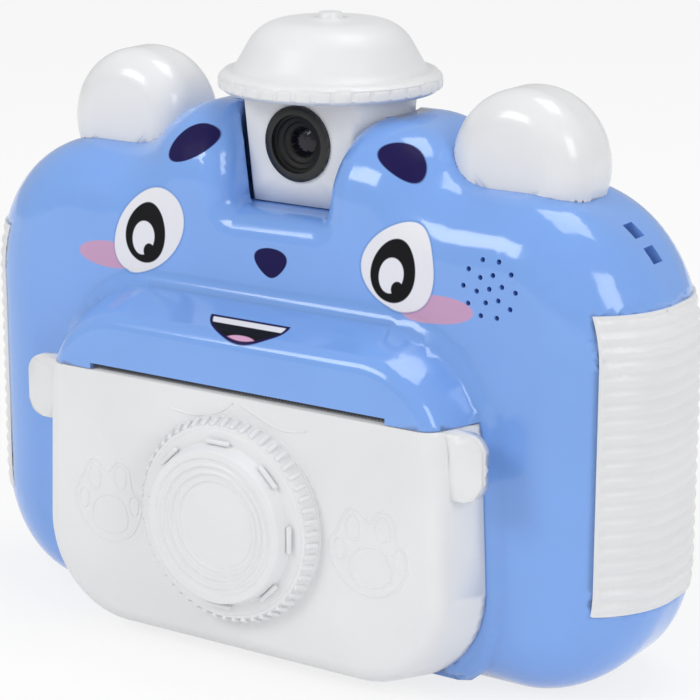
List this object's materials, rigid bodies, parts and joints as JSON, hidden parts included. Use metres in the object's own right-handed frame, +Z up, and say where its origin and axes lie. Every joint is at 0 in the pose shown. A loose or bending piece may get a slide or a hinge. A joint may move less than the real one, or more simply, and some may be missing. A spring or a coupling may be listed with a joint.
{
  "type": "instant-print toy camera",
  "caption": "Rounded instant-print toy camera with a bear-like face, ears, a domed swivelling lens turret, a drop-down paper door with a big ring, and ribbed side grips.",
  "frame": {"origin": "middle of the flat base, on the turret axis, at the height the camera stands on", "axes": "+X to the right seen from the front, +Y from the face to the screen, +Z up"},
  "size_m": [0.1342, 0.0536, 0.1061],
  "materials": {
    "battery": "pouch cell",
    "board_screws": "steel",
    "camera_module": "sensor block",
    "card_socket": "plated shell",
    "case_screws": "steel",
    "delete_button": "glossy white cap",
    "door_hinge_pins": "bright steel wire",
    "door_ring": "satin white ABS",
    "down_button": "glossy white cap",
    "front_shell": "glossy sky-blue ABS, printed face",
    "head_springs": "spring steel",
    "heat_sink": "aluminium plate",
    "idler_gear": "white acetal",
    "key_mat": "grey silicone sheet",
    "left_button": "glossy white cap",
    "left_ear": "glossy white ABS",
    "left_grip": "ribbed white ABS",
    "lens_barrel": "black ABS, stepped",
    "lens_bezel": "black ABS",
    "lens_glass": "clear lens",
    "main_board": "green circuit board",
    "mode_button": "glossy white cap",
    "motor_pinion": "brass pinion on its shaft",
    "paper_core": "board tube",
    "paper_cradle": "white moulded liner",
    "paper_door": "satin white ABS",
    "paper_roll": "thermal paper, wound",
    "platen_gear": "white acetal",
    "platen_roller": "black silicone rubber",
    "platen_shaft": "ground steel",
    "port_cover": "soft blue flap",
    "power_button": "glossy white cap",
    "print_head": "ceramic strip",
    "printer_frame": "black moulded frame",
    "printer_screws": "steel",
    "rear_shell": "glossy sky-blue ABS",
    "right_button": "glossy white cap",
    "right_ear": "glossy white ABS",
    "right_grip": "ribbed white ABS",
    "screen_module": "colour screen",
    "screen_window": "clear window with a dark surround",
    "shutter_button": "glossy white cap",
    "speaker": "paper cone in a plastic frame with a magnet",
    "speaker_gasket": "foam ring",
    "stepper_motor": "plated steel can",
    "tear_blade": "blue ABS, serrated",
    "turret_clip": "black acetal",
    "turret_cup": "satin white ABS",
    "turret_lid": "satin white ABS",
    "up_button": "glossy white cap",
    "usb_socket": "plated shell"
  },
  "bodies": {
    "casing": {"battery": "battery", "board_screws": "board_screws", "card_socket": "card_socket", "case_screws": "case_screws", "door_hinge_pins": "door_hinge_pins", "front_shell": "front_shell", "head_springs": "head_springs", "heat_sink": "heat_sink", "key_mat": "key_mat", "left_ear": "left_ear", "left_grip": "left_grip", "main_board": "main_board", "paper_cradle": "paper_cradle", "print_head": "print_head", "printer_frame": "printer_frame", "printer_screws": "printer_screws", "rear_shell": "rear_shell", "right_ear": "right_ear", "right_grip": "right_grip", "screen_module": "screen_module", "screen_window": "screen_window", "speaker": "speaker", "speaker_gasket": "speaker_gasket", "stepper_motor": "stepper_motor", "tear_blade": "tear_blade", "usb_socket": "usb_socket"},
    "door": {"paper_door": "paper_door", "door_ring": "door_ring"},
    "platen": {"platen_roller": "platen_roller", "platen_shaft": "platen_shaft", "platen_gear": "platen_gear"},
    "idler": {"idler_gear": "idler_gear"},
    "pinion": {"motor_pinion": "motor_pinion"},
    "turret": {"turret_cup": "turret_cup", "turret_clip": "turret_clip", "turret_lid": "turret_lid", "lens_bezel": "lens_bezel", "lens_barrel": "lens_barrel", "lens_glass": "lens_glass", "camera_module": "camera_module"},
    "roll": {"paper_roll": "paper_roll", "paper_core": "paper_core"},
    "flap": {"port_cover": "port_cover"},
    "up_key": {"up_button": "up_button"},
    "down_key": {"down_button": "down_button"},
    "left_key": {"left_button": "left_button"},
    "right_key": {"right_button": "right_button"},
    "shutter_key": {"shutter_button": "shutter_button"},
    "power_key": {"power_button": "power_button"},
    "mode_key": {"mode_button": "mode_button"},
    "delete_key": {"delete_button": "delete_button"}
  },
  "joints": [
    {"name": "door_hinge", "type": "hinge", "parent": "casing", "child": "door", "pos_m": [0, -0.0205, 0.0036], "axis": [1, 0, 0], "range_deg": [0, 80]},
    {"name": "platen_spin", "type": "hinge", "parent": "door", "child": "platen", "pos_m": [0, -0.0224, 0.041], "axis": [1, 0, 0], "continuous": true},
    {"name": "idler_spin", "type": "hinge", "parent": "casing", "child": "idler", "pos_m": [0.0338, -0.01303, 0.04351], "axis": [1, 0, 0], "continuous": true},
    {"name": "pinion_spin", "type": "hinge", "parent": "casing", "child": "pinion", "pos_m": [0.0338, -0.0052, 0.0456], "axis": [1, 0, 0], "continuous": true},
    {"name": "turret_swivel", "type": "hinge", "parent": "casing", "child": "turret", "pos_m": [0, 0, 0.08], "axis": [0, 0, 1], "range_deg": [0, 180]},
    {"name": "roll_spin", "type": "hinge", "parent": "casing", "child": "roll", "pos_m": [0, -0.0088, 0.021], "axis": [1, 0, 0], "continuous": true},
    {"name": "cover_hinge", "type": "hinge", "parent": "casing", "child": "flap", "pos_m": [0.0035, 0.0179, 0.0156], "axis": [0, 0, 1], "range_deg": [0, 150]},
    {"name": "up_press", "type": "slide", "parent": "casing", "child": "up_key", "axis": [0, -1, 0], "range_m": [0, 0.0008], "stiffness_N_per_m": 600},
    {"name": "down_press", "type": "slide", "parent": "casing", "child": "down_key", "axis": [0, -1, 0], "range_m": [0, 0.0008], "stiffness_N_per_m": 600},
    {"name": "left_press", "type": "slide", "parent": "casing", "child": "left_key", "axis": [0, -1, 0], "range_m": [0, 0.0008], "stiffness_N_per_m": 600},
    {"name": "right_press", "type": "slide", "parent": "casing", "child": "right_key", "axis": [0, -1, 0], "range_m": [0, 0.0008], "stiffness_N_per_m": 600},
    {"name": "shutter_press", "type": "slide", "parent": "casing", "child": "shutter_key", "axis": [0, -1, 0], "range_m": [0, 0.0008], "stiffness_N_per_m": 600},
    {"name": "power_press", "type": "slide", "parent": "casing", "child": "power_key", "axis": [0, -1, 0], "range_m": [0, 0.0008], "stiffness_N_per_m": 600},
    {"name": "mode_press", "type": "slide", "parent": "casing", "child": "mode_key", "axis": [0, -1, 0], "range_m": [0, 0.0008], "stiffness_N_per_m": 600},
    {"name": "delete_press", "type": "slide", "parent": "casing", "child": "delete_key", "axis": [0, -1, 0], "range_m": [0, 0.0008], "stiffness_N_per_m": 600}
  ],
  "couplings": [
    {"joint": "idler_spin", "follows": "platen_spin", "ratio": -0.66667},
    {"joint": "pinion_spin", "follows": "platen_spin", "ratio": 1.75}
  ]
}
